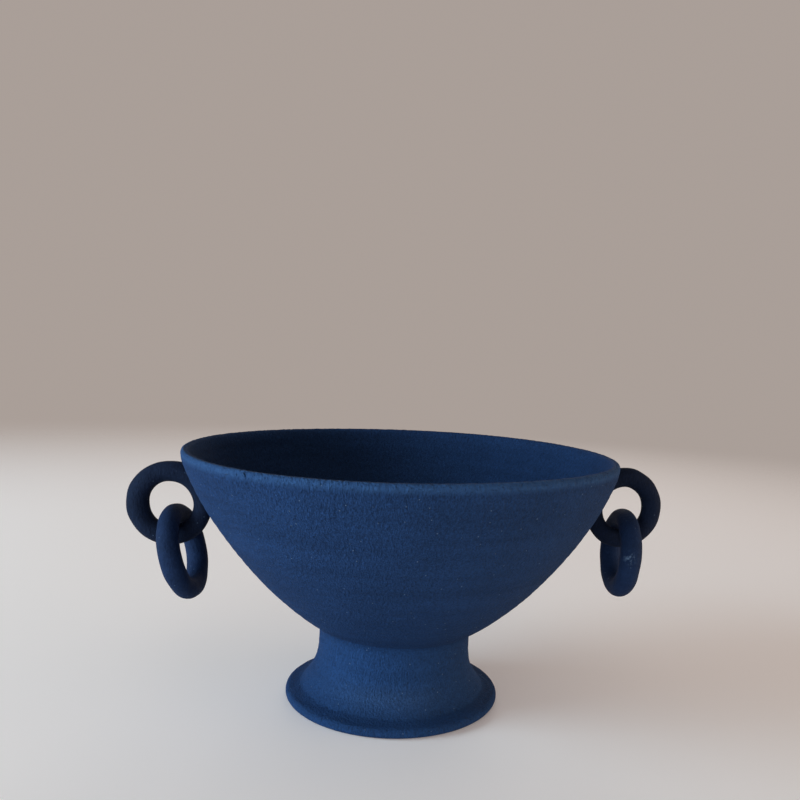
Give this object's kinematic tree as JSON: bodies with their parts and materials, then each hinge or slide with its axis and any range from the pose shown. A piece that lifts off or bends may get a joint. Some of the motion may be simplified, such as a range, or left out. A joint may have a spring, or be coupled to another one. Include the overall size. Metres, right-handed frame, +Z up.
{
  "type": "footed bowl vase",
  "caption": "Wide footed bowl vase in matte blue stoneware, with loop handles under the rim that each hold a loose hanging ring.",
  "frame": {"origin": "centre of the foot's base, on the surface that the vase stands on", "axes": "+Z up along the bowl's turning axis, -X through the lower handle, +X within 2.3 degrees of the other one, -Y towards the viewer of the picture"},
  "size_m": [0.3302, 0.2602, 0.1561],
  "materials": {
    "bowl_clay": "matte, gritty blue engobe",
    "foot_clay": "matte, gritty blue engobe",
    "loop_clay": "matte blue engobe, smoothed by hand",
    "ring_clay": "matte blue engobe, smoothed by hand"
  },
  "bodies": {
    "vessel": {"bowl": "bowl_clay", "pedestal_foot": "foot_clay", "left_handle_loop": "loop_clay", "right_handle_loop": "loop_clay"},
    "left_ring": {"left_hanging_ring": "ring_clay"},
    "right_ring": {"right_hanging_ring": "ring_clay"}
  },
  "joints": [
    {"name": "left_ring_swing", "type": "hinge", "parent": "vessel", "child": "left_ring", "pos_m": [-0.13399, 0, 0.09928], "axis": [-0.9688, 0.0967, -0.2284], "range_deg": [-106, 106]},
    {"name": "right_ring_swing", "type": "hinge", "parent": "vessel", "child": "right_ring", "pos_m": [0.143, 0.00574, 0.1055], "axis": [0.9982, -0.0593, -0.0087], "range_deg": [-106, 106]}
  ]
}
